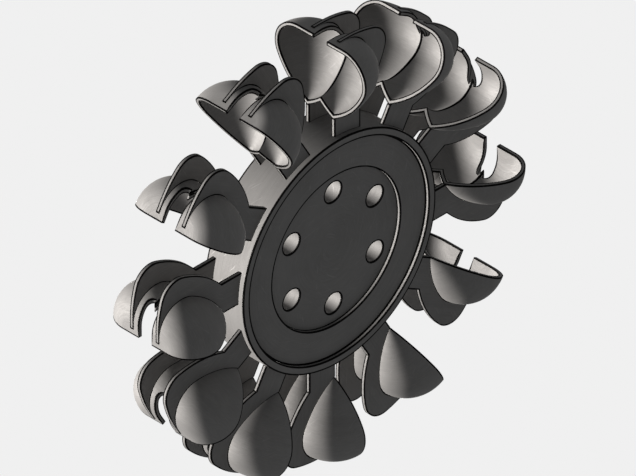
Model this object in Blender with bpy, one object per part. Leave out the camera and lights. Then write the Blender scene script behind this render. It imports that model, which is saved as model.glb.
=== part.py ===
"""Runner of an impulse water turbine: a recessed hub disc carrying twelve twin-lobed buckets.

Metres, +Z up. The wheel's axis is Y and its front face looks along -Y. The origin is the centre
of the flat seat in the back of the hub, where the shaft's flange bolts on. Each bucket is a
thin double cup with a jet notch in its tip, held by two arm plates that run on as ribs over
the backs of its two lobes.
"""

import math

import bmesh
import bpy
from mathutils import Euler, Vector

# Hub disc
HUB_RADIUS = 0.150
HUB_WIDTH = 0.060
FACE_RIM_WIDTH = 0.010
FACE_RECESS_DEPTH = 0.005
SEAT_RADIUS = 0.100
SEAT_DEPTH = 0.005
BOLT_HOLE_COUNT = 6
BOLT_CIRCLE_RADIUS = 0.075
BOLT_HOLE_RADIUS = 0.013
FIRST_BOLT_ANGLE = math.radians(30.0)

# Buckets round the hub
BUCKET_COUNT = 12
LOBE_SPACING = 0.040
ARM_LENGTH = 0.023

# Double cup: each lobe is turned about a spoke of the wheel
CUP_LENGTH = 0.099
CUP_RADIUS = 0.0505
CUP_WALL = 0.005
CUP_FLANK_RADIUS = 0.108
CUP_CORNER_RADIUS = 0.035
NOTCH_WIDTH = 0.0205
NOTCH_DEPTH = 0.0215

# Arm plates and the ribs they run into behind the lobes
PLATE_THICKNESS = 0.005
ARM_DEPTH = 0.040
ARM_BACK_LENGTH = 0.026
RIB_RISE = 0.0295
RIB_FLANK_RADIUS = 0.125
RIB_CREST_RADIUS = 0.026
RIB_END_RADIUS = 0.135
RIB_END_STRAIGHT = 0.022
RIB_STAND_OUT = 0.001
RIB_TOE = 0.008

# Clearance between neighbouring pieces, and the fineness of the round forms
SEAM_GAP = 0.0003
CUTTER_MARGIN = 0.010
HUB_SEGMENTS = 72
HOLE_SEGMENTS = 24
HALF_LOBE_SEGMENTS = 12
FLANK_STEPS = 4
SHOULDER_STEPS = 2
CORNER_STEPS = 4
NOTCH_STEPS = 9
ROOT_STEPS = 3
RIB_FLANK_STEPS = 5
RIB_CREST_STEPS = 5
RIB_END_STEPS = 3
WELD_DISTANCE = 0.000001
SHARP_ANGLE = math.radians(30.0)

# Positions that follow from the sizes above
FACE_RECESS_RADIUS = HUB_RADIUS - FACE_RIM_WIDTH
MID_PLANE_Y = FACE_RECESS_DEPTH + SEAT_DEPTH - HUB_WIDTH / 2.0
CUP_APEX = HUB_RADIUS + ARM_LENGTH
CUP_END = CUP_APEX + CUP_LENGTH
RIB_KINK = HUB_RADIUS + ARM_BACK_LENGTH
RIB_TIP = CUP_END + RIB_STAND_OUT
RIB_CREST_DEPTH = CUP_RADIUS + RIB_RISE

STEEL_LOOKS = {
    "hub_steel": ((0.060, 0.058, 0.055, 1.0), 0.42, 0.85),
    "cup_steel": ((0.075, 0.072, 0.068, 1.0), 0.34, 0.90),
    "plate_steel": ((0.066, 0.064, 0.061, 1.0), 0.40, 0.85),
}


def clear_scene():
    """Start from an empty file."""
    for item in list(bpy.data.objects):
        bpy.data.objects.remove(item, do_unlink=True)


def make_material(name):
    """A steel with its own colour, roughness and metallic value."""
    colour, roughness, metallic = STEEL_LOOKS[name]
    material = bpy.data.materials.new(name)
    material.use_nodes = True
    shader = material.node_tree.nodes["Principled BSDF"]
    shader.inputs["Base Color"].default_value = colour
    shader.inputs["Roughness"].default_value = roughness
    shader.inputs["Metallic"].default_value = metallic
    material.diffuse_color = colour
    return material


def add_object(name, mesh):
    """Link a mesh into the scene under a name."""
    item = bpy.data.objects.new(name, mesh)
    bpy.context.scene.collection.objects.link(item)
    return item


def mesh_from(name, shape):
    """Turn a bmesh into a mesh with its faces pointing out."""
    bmesh.ops.recalc_face_normals(shape, faces=shape.faces)
    mesh = bpy.data.meshes.new(name)
    shape.to_mesh(mesh)
    shape.free()
    return mesh


def add_cutter(name, mesh):
    """A solid that only shapes its neighbours and isn't part of the wheel."""
    cutter = add_object(name, mesh)
    cutter.hide_render = True
    cutter.display_type = "WIRE"
    return cutter


def add_cut(item, tool):
    """Cut one solid with another."""
    modifier = item.modifiers.new(tool.name, "BOOLEAN")
    modifier.operation = "DIFFERENCE"
    modifier.solver = "EXACT"
    modifier.object = tool


def finished_mesh(item, name, material):
    """The object's mesh with its modifiers worked in, shaded smooth between its sharp edges."""
    graph = bpy.context.evaluated_depsgraph_get()
    mesh = bpy.data.meshes.new_from_object(item.evaluated_get(graph))
    mesh.name = name
    mesh.materials.clear()
    mesh.materials.append(material)
    mesh.shade_smooth()
    mesh.set_sharp_from_angle(angle=SHARP_ANGLE)
    return mesh


def arc_points(centre, radius, start, end, steps):
    """Points along an arc in a plane, from one angle to another, both ends included."""
    points = []
    for step in range(steps + 1):
        angle = start + (end - start) * step / steps
        points.append(centre + radius * Vector((math.cos(angle), math.sin(angle))))
    return points


def direction_angle(start, end):
    """Angle of the line from one point to another, from 0 to a full turn."""
    offset = end - start
    return math.atan2(offset.y, offset.x) % math.tau


def enclosing_centre(start, radius, inner_centre, inner_radius):
    """Centre of the arc through start that runs smoothly into a smaller arc inside it.

    The centre lies at the arc's own radius from the start and at the difference of the two
    radii from the smaller arc's centre, on the side that bulges away from the lobe's axis.
    """
    offset = inner_centre - start
    reach = offset.length
    along = (reach**2 + radius**2 - (radius - inner_radius) ** 2) / (2.0 * reach)
    across = math.sqrt(max(radius**2 - along**2, 0.0))
    unit = offset / reach
    return start + along * unit + across * Vector((unit.y, -unit.x))


def lobe_profile(offset):
    """Half section of a lobe as (distance from the wheel's axis, radius of the lobe).

    A long flank arc leaves the apex on the lobe's axis and runs into a corner arc, which passes
    the widest point and ends at the lobe's flat end. The section is moved outwards by offset,
    or inwards if negative.
    """
    corner_centre = Vector((CUP_END - CUP_CORNER_RADIUS, CUP_RADIUS - CUP_CORNER_RADIUS))
    apex = Vector((CUP_APEX, 0.0))
    flank_centre = enclosing_centre(apex, CUP_FLANK_RADIUS, corner_centre, CUP_CORNER_RADIUS)
    flank_radius = CUP_FLANK_RADIUS + offset
    half_chord = math.sqrt(max(flank_radius**2 - flank_centre.y**2, 0.0))
    start = Vector((flank_centre.x - half_chord, 0.0))
    start_angle = direction_angle(flank_centre, start)
    meeting_angle = direction_angle(flank_centre, corner_centre)
    flank = arc_points(flank_centre, flank_radius, start_angle, meeting_angle, FLANK_STEPS)
    corner_radius = CUP_CORNER_RADIUS + offset
    widest = math.pi / 2.0
    shoulder = arc_points(corner_centre, corner_radius, meeting_angle, widest, SHOULDER_STEPS)
    corner = arc_points(corner_centre, corner_radius, widest, 0.0, CORNER_STEPS)
    flank[0].y = 0.0
    return flank + shoulder[1:] + corner[1:] + [Vector((CUP_END + offset, 0.0))]


def rib_back_outline():
    """Outer edge of a rib as (distance from the wheel's axis, depth behind the rim plane).

    It runs from the toe on the cup's flat end, over the end arc and the crest arc, down the
    flank arc to the kink where the arm starts.
    """
    end_centre = Vector((RIB_TIP - RIB_END_RADIUS, RIB_END_STRAIGHT))
    crest_depth = RIB_CREST_DEPTH - RIB_CREST_RADIUS
    rise = crest_depth - end_centre.y
    run = math.sqrt(max((RIB_END_RADIUS - RIB_CREST_RADIUS) ** 2 - rise**2, 0.0))
    crest_centre = Vector((end_centre.x + run, crest_depth))
    kink = Vector((RIB_KINK, ARM_DEPTH))
    flank_centre = enclosing_centre(kink, RIB_FLANK_RADIUS, crest_centre, RIB_CREST_RADIUS)
    end_meeting = direction_angle(end_centre, crest_centre)
    flank_meeting = direction_angle(flank_centre, crest_centre)
    kink_angle = direction_angle(flank_centre, kink)
    toe = Vector((RIB_TIP, RIB_TOE))
    end_arc = arc_points(end_centre, RIB_END_RADIUS, 0.0, end_meeting, RIB_END_STEPS)
    crest_arc = arc_points(crest_centre, RIB_CREST_RADIUS, end_meeting, flank_meeting, RIB_CREST_STEPS)
    flank_arc = arc_points(flank_centre, RIB_FLANK_RADIUS, flank_meeting, kink_angle, RIB_FLANK_STEPS)
    return [toe] + end_arc + crest_arc[1:] + flank_arc[1:]


def plate_outline():
    """Whole outline of an arm plate and its rib as (distance from the wheel's axis, depth)."""
    root_radius = HUB_RADIUS + SEAM_GAP
    root_angle = math.asin(ARM_DEPTH / root_radius)
    root = arc_points(Vector((0.0, 0.0)), root_radius, root_angle, 0.0, ROOT_STEPS)
    bed = lobe_profile(SEAM_GAP)[:-1]
    toe_foot = Vector((CUP_END + SEAM_GAP, RIB_TOE))
    return root + bed + [toe_foot] + rib_back_outline()


def plate_mesh(material):
    """Arm plate with its rib, lying in the wheel's mid-plane at the first bucket's place."""
    shape = bmesh.new()
    corners = [shape.verts.new((p.x, -PLATE_THICKNESS / 2.0, -p.y)) for p in plate_outline()]
    face = shape.faces.new(corners)
    grown = bmesh.ops.extrude_face_region(shape, geom=[face])
    raised = [part for part in grown["geom"] if isinstance(part, bmesh.types.BMVert)]
    bmesh.ops.translate(shape, verts=raised, vec=(0.0, PLATE_THICKNESS, 0.0))
    bmesh.ops.triangulate(shape, faces=shape.faces)
    mesh = mesh_from("arm_plate", shape)
    mesh.materials.append(material)
    mesh.shade_smooth()
    mesh.set_sharp_from_angle(angle=SHARP_ANGLE)
    return mesh


def flattened(shape, axis):
    """Set vertices within the weld distance of a coordinate plane exactly on that plane."""
    for vert in shape.verts:
        if abs(vert.co[axis]) < WELD_DISTANCE:
            vert.co[axis] = 0.0


def double_lobe_mesh(name, offset, top):
    """Solid below the rim plane that two joined lobes fill, with walls up to a given height.

    The front lobe is half a turned form about its own spoke. It is cut off at the wheel's
    mid-plane, and its mirror image makes the back lobe. The rim plane is z = 0.
    """
    axis_y = -LOBE_SPACING / 2.0
    shape = bmesh.new()
    points = [shape.verts.new((p.x, axis_y - p.y, 0.0)) for p in lobe_profile(offset)]
    edges = [shape.edges.new(pair) for pair in zip(points, points[1:])]
    bmesh.ops.spin(
        shape,
        geom=points + edges,
        cent=(0.0, axis_y, 0.0),
        axis=(1.0, 0.0, 0.0),
        angle=math.pi,
        steps=HALF_LOBE_SEGMENTS,
    )
    bmesh.ops.remove_doubles(shape, verts=shape.verts, dist=WELD_DISTANCE)
    flattened(shape, 2)
    parts = shape.verts[:] + shape.edges[:] + shape.faces[:]
    bmesh.ops.bisect_plane(
        shape,
        geom=parts,
        dist=WELD_DISTANCE,
        plane_co=(0.0, 0.0, 0.0),
        plane_no=(0.0, 1.0, 0.0),
        clear_outer=True,
    )
    flattened(shape, 1)
    parts = shape.verts[:] + shape.edges[:] + shape.faces[:]
    bmesh.ops.mirror(shape, geom=parts, axis="Y", merge_dist=WELD_DISTANCE)
    rim = [edge for edge in shape.edges if edge.is_boundary]
    if top > 0.0:
        grown = bmesh.ops.extrude_edge_only(shape, edges=rim)
        raised = [part for part in grown["geom"] if isinstance(part, bmesh.types.BMVert)]
        bmesh.ops.translate(shape, verts=raised, vec=(0.0, 0.0, top))
        rim = [edge for edge in shape.edges if edge.is_boundary]
    bmesh.ops.edgeloop_fill(shape, edges=rim)
    return mesh_from(name, shape)


def notch_mesh():
    """The jet notch: a slot with a round closed end, cut straight through the cup's depth."""
    half_width = NOTCH_WIDTH / 2.0
    closed_end = Vector((CUP_END - NOTCH_DEPTH + half_width, 0.0))
    outline = arc_points(closed_end, half_width, math.pi / 2.0, 1.5 * math.pi, NOTCH_STEPS)
    outline.append(Vector((CUP_END + CUTTER_MARGIN, -half_width)))
    outline.append(Vector((CUP_END + CUTTER_MARGIN, half_width)))
    depth = CUP_RADIUS + CUTTER_MARGIN
    shape = bmesh.new()
    face = shape.faces.new([shape.verts.new((p.x, p.y, -depth)) for p in outline])
    grown = bmesh.ops.extrude_face_region(shape, geom=[face])
    raised = [part for part in grown["geom"] if isinstance(part, bmesh.types.BMVert)]
    bmesh.ops.translate(shape, verts=raised, vec=(0.0, 0.0, depth + CUTTER_MARGIN))
    return mesh_from("notch", shape)


def cup_mesh(material):
    """The double cup of the first bucket: two joined half lobes, hollowed and notched.

    The wheel's mid-plane is y = 0 here, the spoke is +X and the open side looks along +Z.
    """
    cup = add_cutter("cup_blank", double_lobe_mesh("cup_blank", 0.0, 0.0))
    tools = [
        add_cutter("cup_hollow", double_lobe_mesh("cup_hollow", -CUP_WALL, CUTTER_MARGIN)),
        add_cutter("jet_notch", notch_mesh()),
    ]
    for tool in tools:
        add_cut(cup, tool)
    mesh = finished_mesh(cup, "double_cup", material)
    for tool in tools + [cup]:
        bpy.data.objects.remove(tool, do_unlink=True)
    return mesh


def disc_mesh(name, radius, low_y, high_y, segments, centre=(0.0, 0.0)):
    """A disc or bar about an axis along Y, with centre given as (x, z)."""
    shape = bmesh.new()
    bmesh.ops.create_cone(
        shape,
        cap_ends=True,
        segments=segments,
        radius1=radius,
        radius2=radius,
        depth=high_y - low_y,
    )
    turn = Euler((math.pi / 2.0, 0.0, 0.0)).to_matrix()
    bmesh.ops.rotate(shape, verts=shape.verts, cent=(0.0, 0.0, 0.0), matrix=turn)
    place = (centre[0], (low_y + high_y) / 2.0, centre[1])
    bmesh.ops.translate(shape, verts=shape.verts, vec=place)
    return mesh_from(name, shape)


def hub_mesh(material):
    """The hub disc: two steps sunk in each face, and bolt holes through the seat."""
    front = MID_PLANE_Y - HUB_WIDTH / 2.0
    back = MID_PLANE_Y + HUB_WIDTH / 2.0
    blank = add_cutter("hub_blank", disc_mesh("hub_blank", HUB_RADIUS, front, back, HUB_SEGMENTS))
    steps = [
        ("face_recess", FACE_RECESS_RADIUS, FACE_RECESS_DEPTH),
        ("seat", SEAT_RADIUS, FACE_RECESS_DEPTH + SEAT_DEPTH),
    ]
    cutters = []
    for name, radius, depth in steps:
        sunk_front = disc_mesh(name, radius, front - CUTTER_MARGIN, front + depth, HUB_SEGMENTS)
        sunk_back = disc_mesh(name, radius, back - depth, back + CUTTER_MARGIN, HUB_SEGMENTS)
        cutters.append(add_cutter(name + "_front", sunk_front))
        cutters.append(add_cutter(name + "_back", sunk_back))
    for index in range(BOLT_HOLE_COUNT):
        angle = FIRST_BOLT_ANGLE + math.tau * index / BOLT_HOLE_COUNT
        centre = (BOLT_CIRCLE_RADIUS * math.cos(angle), BOLT_CIRCLE_RADIUS * math.sin(angle))
        hole = disc_mesh("hole", BOLT_HOLE_RADIUS, front, back, HOLE_SEGMENTS, centre)
        cutters.append(add_cutter(f"bolt_hole_{index + 1:02d}", hole))
    for cutter in cutters:
        add_cut(blank, cutter)
    mesh = finished_mesh(blank, "hub", material)
    for cutter in cutters + [blank]:
        bpy.data.objects.remove(cutter, do_unlink=True)
    return mesh


def add_bucket(number, cup, plate):
    """Place one double cup and its two arm plates at their station round the wheel."""
    name = f"bucket_{number:02d}"
    station = bpy.data.objects.new(name + "_station", None)
    bpy.context.scene.collection.objects.link(station)
    station.location = (0.0, MID_PLANE_Y, 0.0)
    station.rotation_euler = (0.0, -math.tau * (number - 1) / BUCKET_COUNT, 0.0)
    add_object(name + "_cup", cup).parent = station
    for side, place in ((-1.0, "front"), (1.0, "back")):
        arm = add_object(f"{name}_{place}_arm", plate)
        arm.parent = station
        arm.location = (0.0, side * LOBE_SPACING / 2.0, 0.0)


def main():
    """Build the hub and its buckets."""
    clear_scene()
    add_object("hub", hub_mesh(make_material("hub_steel")))
    cup = cup_mesh(make_material("cup_steel"))
    plate = plate_mesh(make_material("plate_steel"))
    for number in range(1, BUCKET_COUNT + 1):
        add_bucket(number, cup, plate)


main()
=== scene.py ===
"""Looks of an impulse turbine wheel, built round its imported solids.

Every form is a grid of points worked out from the wheel's own sizes, in metres. A bucket is
drawn at the first station, with coordinates (spoke, side, height): spoke runs out from the
wheel's axis, side is the distance from the wheel's mid-plane, towards the back, and height
rises from the rim plane on the cup's open side. It is then turned to its own station.
"""

from __future__ import annotations

import logging
import math
from dataclasses import dataclass, field, replace
from enum import Enum
from typing import Any, Mapping, Sequence

import bpy
import numpy as np
from mathutils import Matrix, Vector

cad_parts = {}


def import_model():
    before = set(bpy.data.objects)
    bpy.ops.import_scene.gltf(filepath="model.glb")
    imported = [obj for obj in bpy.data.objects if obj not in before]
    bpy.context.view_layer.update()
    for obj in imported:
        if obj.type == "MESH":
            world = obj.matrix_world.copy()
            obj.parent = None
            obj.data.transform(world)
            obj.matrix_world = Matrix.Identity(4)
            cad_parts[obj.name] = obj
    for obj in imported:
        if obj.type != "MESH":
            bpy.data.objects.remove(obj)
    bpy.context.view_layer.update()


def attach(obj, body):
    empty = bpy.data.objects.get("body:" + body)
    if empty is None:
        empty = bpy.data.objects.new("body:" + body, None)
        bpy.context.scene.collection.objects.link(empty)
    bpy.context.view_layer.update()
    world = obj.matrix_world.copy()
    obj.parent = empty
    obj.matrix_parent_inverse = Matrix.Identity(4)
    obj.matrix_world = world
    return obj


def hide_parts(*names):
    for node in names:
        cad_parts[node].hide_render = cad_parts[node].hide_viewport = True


LOG = logging.getLogger("wheel")

# Place of the wheel's mid-plane along its axis, from the seat in its back.
MID_PLANE = -0.020
BUCKET_COUNT = 12
# How far a plate runs into the cup and the hub that it is welded to.
WELD_BITE = 0.0002
# Width of the dark line along a sharp edge, and the most of a narrow strip that it takes.
LINE_WIDTH = 0.0021
LINE_SHARE = 0.32
# Points closer than this are one, and nothing is divided by a shorter length.
SAME_POINT = 0.000001
SHARP_ANGLE = math.radians(30.0)
# Names of a mesh's own values, which its finish reads.
EDGE_VALUE = "edge"
LAY_VALUE = "lay"


# Curves and surfaces


def arc(centre: np.ndarray, radius: float, angles: np.ndarray) -> np.ndarray:
    """Points of a circle at the given angles.

    Args:
        centre: The circle's centre, two numbers.
        radius: Its radius.
        angles: The angles in radians.

    Returns:
        One row of two coordinates for each angle.
    """
    return centre + radius * np.stack((np.cos(angles), np.sin(angles)), axis=-1)


def direction(start: np.ndarray, end: np.ndarray) -> float:
    """Angle of the line from one point to another, from 0 to a full turn."""
    return math.atan2(end[1] - start[1], end[0] - start[0]) % math.tau


def enclosing_centre(
    start: np.ndarray, radius: float, inner: np.ndarray, inner_radius: float
) -> np.ndarray:
    """Centre of the arc through start that runs smoothly into a smaller arc inside it.

    It lies at the arc's own radius from the start and at the difference of the two radii
    from the smaller arc's centre, on the side that bulges away from the spoke.

    Args:
        start: A point on the large arc.
        radius: The large arc's radius.
        inner: The small arc's centre.
        inner_radius: The small arc's radius.

    Returns:
        The large arc's centre.
    """
    offset = inner - start
    reach = float(np.hypot(*offset))
    along = (reach**2 + radius**2 - (radius - inner_radius) ** 2) / (2.0 * reach)
    across = math.sqrt(radius**2 - along**2)
    unit = offset / reach
    return start + along * unit + across * np.array((unit[1], -unit[0]))


def rotated(first: np.ndarray, second: np.ndarray, angle: float) -> tuple[np.ndarray, np.ndarray]:
    """Two coordinates turned about the origin, from the first axis towards the second.

    Args:
        first: The first coordinate of each point.
        second: The second coordinate of each point.
        angle: The turn in radians.

    Returns:
        The two turned coordinates: first times cosine less second times sine, and first
        times sine plus second times cosine.
    """
    cosine, sine = math.cos(angle), math.sin(angle)
    return first * cosine - second * sine, first * sine + second * cosine


def run_length(curve: np.ndarray) -> np.ndarray:
    """Distance along a curve from its first point to each of them."""
    steps = np.linalg.norm(np.diff(curve, axis=0), axis=1)
    return np.concatenate(((0.0,), np.cumsum(steps)))


def spaced(curve: np.ndarray, shares: np.ndarray) -> np.ndarray:
    """Points at given shares of a curve's length, by linear interpolation along it.

    Args:
        curve: Closely set points of the curve, one a row.
        shares: Values from 0, its start, to 1, its end.

    Returns:
        One point for each share.
    """
    length = run_length(curve)
    wanted = shares * length[-1]
    return np.stack([np.interp(wanted, length, column) for column in curve.T], axis=-1)


def bordered(length: np.ndarray, count: int) -> np.ndarray:
    """Distances across a strip, with a narrow step at each border and even steps between.

    The narrow step is the width of the dark line that follows a sharp edge, or a set share
    of the strip where that is less.

    Args:
        length: Width of the strip at each row.
        count: Number of even steps.

    Returns:
        For each row, the distances 0, one line's width, the even steps, and the mirror of
        that at the far border.
    """
    width = length[..., None]
    line = np.minimum(LINE_WIDTH, width * LINE_SHARE)
    inner = line + (width - 2.0 * line) * np.linspace(0.0, 1.0, count + 1)
    return np.concatenate((np.zeros_like(line), inner, width), axis=-1)


def border_marks(rows: int, columns: int, first: bool = True, last: bool = True) -> np.ndarray:
    """Edge values of a grid: 1 in its first and last column, where asked, and 0 between.

    Args:
        rows: Number of rows.
        columns: Number of columns.
        first: True where the first column is a sharp edge.
        last: True where the last column is one.

    Returns:
        The edge values by row and column.
    """
    marks = np.zeros((rows, columns))
    marks[:, 0] = float(first)
    marks[:, -1] = float(last)
    return marks


def row_marks(count: int, edges: Sequence[int]) -> np.ndarray:
    """Edge values of a strip's rows: 1 in the rows given by number, and 0 in the others.

    Args:
        count: Number of rows.
        edges: Numbers of the rows that are sharp edges.

    Returns:
        The edge value of each row.
    """
    marks = np.zeros(count)
    marks[list(edges)] = 1.0
    return marks


class Patch(float, Enum):
    """Number of each surface, which keeps its tool marks from matching the next one's.

    A bucket adds its own number to those of its surfaces, a plate adds that of its face of
    the wheel, a bolt hole adds its place in the ring, and the mirrored half of a cup adds
    MIRRORED.
    """

    LOBE_BACK = 0.0
    LOBE_HOLLOW = -0.5
    MIRRORED = 0.5
    RIM_BAND = 3.0
    NOTCH_WALL = 4.0
    PLATE_FRONT = 6.0
    PLATE_REAR = 7.0
    PLATE_BED = 8.0
    PLATE_BACK = 9.0
    PLATE_ROOT = 10.0
    PLATE_TOE = 11.0
    HUB_SIDES = 20.0
    SEAT_FLOOR = 21.0
    BOLT_HOLE = 22.0


@dataclass
class Surface:
    """Triangles with an edge value and tool mark coordinates at each corner.

    Attributes:
        points: Vertex positions, one a row.
        triangles: Three vertex numbers a row.
        edge: For each corner, 1 on a sharp edge, falling to 0 one line's width away.
        lay: For each corner, the distances across and along the tool marks, and a number
            that keeps one surface's marks from matching the next one's.
    """

    points: np.ndarray
    triangles: np.ndarray
    edge: np.ndarray
    lay: np.ndarray

    @classmethod
    def from_grid(
        cls, points: np.ndarray, edge: np.ndarray, lay: np.ndarray, flip: bool = False
    ) -> Surface:
        """Two triangles for each cell of a grid of points.

        Args:
            points: Positions by row and column.
            edge: Edge values by row and column.
            lay: Tool mark coordinates by row and column.
            flip: True to turn the faces over.

        Returns:
            The surface.
        """
        rows, columns = points.shape[:2]
        number = np.arange(rows * columns).reshape(rows, columns)
        a, b = number[:-1, :-1].ravel(), number[:-1, 1:].ravel()
        c, d = number[1:, 1:].ravel(), number[1:, :-1].ravel()
        triangles = np.concatenate((np.stack((a, c, b), 1), np.stack((a, d, c), 1)))
        if flip:
            triangles = triangles[:, ::-1]
        return cls(
            points.reshape(-1, 3),
            triangles,
            edge.ravel()[triangles],
            lay.reshape(-1, 3)[triangles],
        )

    @classmethod
    def joined(cls, parts: Sequence[Surface]) -> Surface:
        """Several surfaces as one, still with their own vertices.

        Args:
            parts: The surfaces.

        Returns:
            The joined surface.
        """
        starts = np.cumsum([0] + [len(part.points) for part in parts[:-1]])
        return cls(
            np.concatenate([part.points for part in parts]),
            np.concatenate([part.triangles + start for part, start in zip(parts, starts)]),
            np.concatenate([part.edge for part in parts]),
            np.concatenate([part.lay for part in parts]),
        )

    def marked(self, patch: float) -> Surface:
        """The surface with its tool marks set apart by a number."""
        return replace(self, lay=self.lay + np.array((0.0, 0.0, patch)))

    def mirrored(self) -> Surface:
        """Mirror image in the plane where the second coordinate is 0.

        Returns:
            The mirrored surface, with its faces turned over so that they still face out.
        """
        return Surface(
            self.points * np.array((1.0, -1.0, 1.0)),
            self.triangles[:, ::-1],
            self.edge[:, ::-1],
            self.lay[:, ::-1],
        ).marked(Patch.MIRRORED)

    def moved(self, side: float) -> Surface:
        """The surface moved along the wheel's axis."""
        return replace(self, points=self.points + np.array((0.0, side, 0.0)))

    def at_station(self, number: int) -> Surface:
        """The surface turned from the first bucket's place to that of another bucket.

        Args:
            number: The other bucket's number, from 1.

        Returns:
            The turned surface, in the wheel's own frame.
        """
        spoke, side, height = self.points.T
        x, z = rotated(spoke, height, math.tau * (number - 1) / BUCKET_COUNT)
        turned = np.stack((x, side + MID_PLANE, z), axis=-1)
        return replace(self, points=turned).marked(number)

    def as_object(self, name: str, material: bpy.types.Material) -> bpy.types.Object:
        """Weld the seams and poles and put the surface into the scene.

        Vertices within a thousandth of a millimetre become one, and triangles that have
        then lost a side are dropped.

        Args:
            name: The piece's name.
            material: Its finish.

        Returns:
            The new object, at the origin.
        """
        keys = np.round(self.points / SAME_POINT).astype(np.int64)
        _, first, same = np.unique(keys, axis=0, return_index=True, return_inverse=True)
        triangles = same.reshape(-1)[self.triangles]
        kept = (
            (triangles[:, 0] != triangles[:, 1])
            & (triangles[:, 1] != triangles[:, 2])
            & (triangles[:, 2] != triangles[:, 0])
        )
        mesh = bpy.data.meshes.new(name)
        mesh.from_pydata(self.points[first].tolist(), [], triangles[kept].tolist())
        edge = mesh.attributes.new(EDGE_VALUE, "FLOAT", "CORNER")
        edge.data.foreach_set("value", self.edge[kept].astype(np.float32).ravel())
        lay = mesh.attributes.new(LAY_VALUE, "FLOAT_VECTOR", "CORNER")
        lay.data.foreach_set("vector", self.lay[kept].astype(np.float32).ravel())
        mesh.materials.append(material)
        mesh.shade_smooth()
        mesh.set_sharp_from_angle(angle=SHARP_ANGLE)
        item = bpy.data.objects.new(name, mesh)
        bpy.context.scene.collection.objects.link(item)
        return item


def strip(
    near: np.ndarray,
    far: np.ndarray,
    count: int,
    edges: Sequence[int],
    patch: float,
    flip: bool = False,
) -> Surface:
    """Ruled surface between two curves: straight lines join points of equal number.

    Args:
        near: Points of the first curve.
        far: As many points of the second curve.
        count: Number of even steps across.
        edges: Numbers of the rows that are sharp edges too, beside the two borders.
        patch: Number that sets its tool marks apart.
        flip: True to turn the faces over.

    Returns:
        The strip, with a sharp edge along each curve.
    """
    width = np.linalg.norm(far - near, axis=1)
    across = bordered(width, count)
    share = across / np.maximum(width, SAME_POINT)[:, None]
    points = near[:, None] + (far - near)[:, None] * share[..., None]
    edge = np.maximum(border_marks(*share.shape), row_marks(len(near), edges)[:, None])
    along = run_length(near)[:, None] + np.zeros_like(across)
    lay = np.stack((across, along, np.full_like(across, patch)), axis=-1)
    return Surface.from_grid(points, edge, lay, flip)


# Shaders


class Value:
    """A shader socket that can stand in arithmetic."""

    def __init__(self, tree: bpy.types.NodeTree, socket: bpy.types.NodeSocket) -> None:
        """Wrap one output socket."""
        self.tree = tree
        self.socket = socket

    def _math(self, operation: str, *terms: Value | float) -> Value:
        """Add a Math node.

        Args:
            operation: What it works out.
            terms: Values or numbers, in order.

        Returns:
            Its result.
        """
        node = self.tree.nodes.new("ShaderNodeMath")
        node.operation = operation
        for place, term in zip(node.inputs, terms):
            if isinstance(term, Value):
                self.tree.links.new(term.socket, place)
            else:
                place.default_value = term
        return Value(self.tree, node.outputs[0])

    def __add__(self, other: Value | float) -> Value:
        """Sum."""
        return self._math("ADD", self, other)

    __radd__ = __add__

    def __sub__(self, other: Value | float) -> Value:
        """Difference."""
        return self._math("SUBTRACT", self, other)

    def __rsub__(self, other: float) -> Value:
        """Difference from a number."""
        return self._math("SUBTRACT", other, self)

    def __mul__(self, other: Value | float) -> Value:
        """Product."""
        return self._math("MULTIPLY", self, other)

    __rmul__ = __mul__

    def swing(self, amount: float) -> Value:
        """How far a pattern from 0 to 1 lies from its middle, times an amount."""
        return (self - 0.5) * amount


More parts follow.
